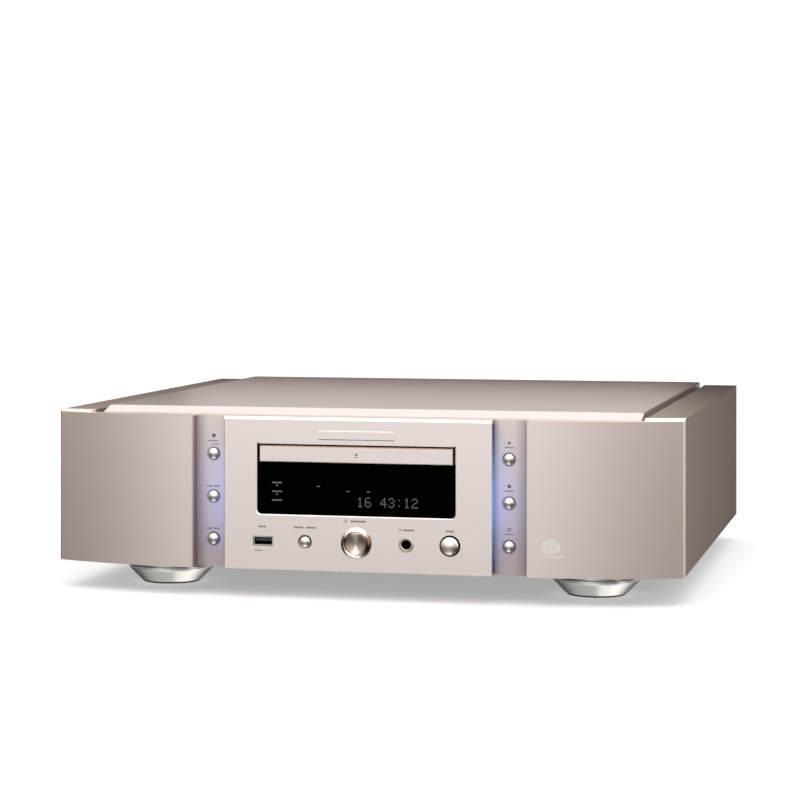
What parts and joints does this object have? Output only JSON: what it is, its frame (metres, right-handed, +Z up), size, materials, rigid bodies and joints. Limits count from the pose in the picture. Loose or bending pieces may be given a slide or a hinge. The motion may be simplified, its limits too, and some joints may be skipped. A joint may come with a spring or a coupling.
{
  "type": "cd player",
  "caption": "Full-width hi-fi disc player with curved front wings, a sliding disc drawer over a display window, push buttons, a level knob and turned feet.",
  "frame": {"origin": "middle of the bounding box, on the surface that the feet stand on", "axes": "+X to the viewer's right when facing the front, +Y from the front to the rear, +Z up"},
  "size_m": [0.44, 0.419, 0.127],
  "materials": {
    "champagne_panel": "satin",
    "wing": "satin",
    "lid": "satin",
    "side": "satin",
    "strip": "satin",
    "light_guide": "gloss",
    "window": "gloss",
    "display": "satin",
    "door": "satin",
    "tray": "matte",
    "mechanism": "matte",
    "polished": "polished",
    "button": "polished",
    "knob": "polished",
    "jack_ring": "polished",
    "socket_metal": "polished",
    "socket_shell": "satin",
    "black_plastic": "matte",
    "board": "satin",
    "steel": "satin",
    "copper_sheet": "satin",
    "rear_sheet": "satin",
    "black_steel": "satin",
    "foot": "satin",
    "rubber": "matte",
    "screw": "satin",
    "core": "satin",
    "capacitor": "satin",
    "belt": "matte",
    "gear": "satin"
  },
  "bodies": {
    "case": {"analogue_sockets": "socket_metal", "audio_board": "board", "balanced_sockets": "socket_shell", "bottom_plate": "black_steel", "centre_panel": "champagne_panel", "coaxial_sockets": "socket_metal", "control_board": "board", "digital_sockets": "black_plastic", "display_module": "display", "display_window": "window", "feet": "foot", "foot_pads": "rubber", "front_frame": "copper_sheet", "front_usb_socket": "socket_shell", "guide_rods": "steel", "headphone_jack": "jack_ring", "left_button_strip": "strip", "left_side_panel": "side", "left_wing": "wing", "level_control": "black_plastic", "light_guides": "light_guide", "loading_belt": "belt", "loading_motor": "steel", "mechanism_chassis": "mechanism", "mechanism_cover": "black_steel", "output_modules": "copper_sheet", "power_bezel": "polished", "power_board": "board", "power_inlet": "black_plastic", "rear_panel": "rear_sheet", "reservoir_capacitors": "capacitor", "right_button_strip": "strip", "right_side_panel": "side", "right_wing": "wing", "screws": "screw", "sled_motor": "steel", "spindle_motor": "steel", "switch_boards": "board", "top_plate": "lid", "transformer": "core", "traverse_plate": "black_steel"},
    "drawer": {"tray_door": "door", "disc_tray": "tray"},
    "loading_gear": {"loading_pinion": "gear"},
    "motor_pulley": {"motor_pulley": "gear"},
    "turntable": {"turntable": "black_plastic"},
    "clamp": {"clamp_puck": "black_plastic"},
    "pickup": {"optical_pickup": "black_plastic"},
    "lead_screw": {"lead_screw": "steel"},
    "power_button": {"power_button": "button"},
    "mode_button": {"mode_button": "button"},
    "level_knob": {"level_knob": "knob", "level_shaft": "steel"},
    "left_top_button": {"left_top_button": "button"},
    "left_middle_button": {"left_middle_button": "button"},
    "left_bottom_button": {"left_bottom_button": "button"},
    "right_top_button": {"right_top_button": "button"},
    "right_middle_button": {"right_middle_button": "button"},
    "right_bottom_button": {"right_bottom_button": "button"}
  },
  "joints": [
    {"name": "drawer_slide", "type": "slide", "parent": "case", "child": "drawer", "axis": [0, -1, 0], "range_m": [0, 0.14]},
    {"name": "loading_gear_spin", "type": "hinge", "parent": "case", "child": "loading_gear", "pos_m": [-0.047, -0.16, 0.09], "axis": [0, 0, 1], "range_deg": [0, 803]},
    {"name": "motor_pulley_spin", "type": "hinge", "parent": "case", "child": "motor_pulley", "pos_m": [-0.008, -0.166, 0.085], "axis": [0, 0, 1], "range_deg": [0, 3412]},
    {"name": "turntable_spin", "type": "hinge", "parent": "case", "child": "turntable", "pos_m": [0, -0.131, 0.098], "axis": [0, 0, 1], "continuous": true},
    {"name": "clamp_spin", "type": "hinge", "parent": "case", "child": "clamp", "pos_m": [0, -0.131, 0.106], "axis": [0, 0, 1], "continuous": true},
    {"name": "lead_screw_spin", "type": "hinge", "parent": "case", "child": "lead_screw", "pos_m": [0.033, -0.106, 0.086], "axis": [0, 1, 0], "range_deg": [0, 4081]},
    {"name": "pickup_slide", "type": "slide", "parent": "case", "child": "pickup", "axis": [0, 1, 0], "range_m": [0, 0.034]},
    {"name": "level_turn", "type": "hinge", "parent": "case", "child": "level_knob", "pos_m": [0.0647, -0.206, 0.0388], "axis": [0, -1, 0], "range_deg": [-30, 270]},
    {"name": "power_press", "type": "slide", "parent": "case", "child": "power_button", "axis": [0, 1, 0], "range_m": [0, 0.002], "stiffness_N_per_m": 900, "springref_m": -0.0012},
    {"name": "mode_press", "type": "slide", "parent": "case", "child": "mode_button", "axis": [0, 1, 0], "range_m": [0, 0.001], "stiffness_N_per_m": 1000, "springref_m": -0.0008},
    {"name": "left_top_press", "type": "slide", "parent": "case", "child": "left_top_button", "axis": [0, 1, 0], "range_m": [0, 0.001], "stiffness_N_per_m": 1000, "springref_m": -0.0008},
    {"name": "left_middle_press", "type": "slide", "parent": "case", "child": "left_middle_button", "axis": [0, 1, 0], "range_m": [0, 0.001], "stiffness_N_per_m": 1000, "springref_m": -0.0008},
    {"name": "left_bottom_press", "type": "slide", "parent": "case", "child": "left_bottom_button", "axis": [0, 1, 0], "range_m": [0, 0.001], "stiffness_N_per_m": 1000, "springref_m": -0.0008},
    {"name": "right_top_press", "type": "slide", "parent": "case", "child": "right_top_button", "axis": [0, 1, 0], "range_m": [0, 0.001], "stiffness_N_per_m": 1000, "springref_m": -0.0008},
    {"name": "right_middle_press", "type": "slide", "parent": "case", "child": "right_middle_button", "axis": [0, 1, 0], "range_m": [0, 0.001], "stiffness_N_per_m": 1000, "springref_m": -0.0008},
    {"name": "right_bottom_press", "type": "slide", "parent": "case", "child": "right_bottom_button", "axis": [0, 1, 0], "range_m": [0, 0.001], "stiffness_N_per_m": 1000, "springref_m": -0.0008}
  ],
  "couplings": [
    {"joint": "loading_gear_spin", "follows": "drawer_slide", "rad_per_m": 100},
    {"joint": "motor_pulley_spin", "follows": "drawer_slide", "rad_per_m": 425},
    {"joint": "clamp_spin", "follows": "turntable_spin", "ratio": 1},
    {"joint": "lead_screw_spin", "follows": "pickup_slide", "rad_per_m": 2094.4}
  ]
}
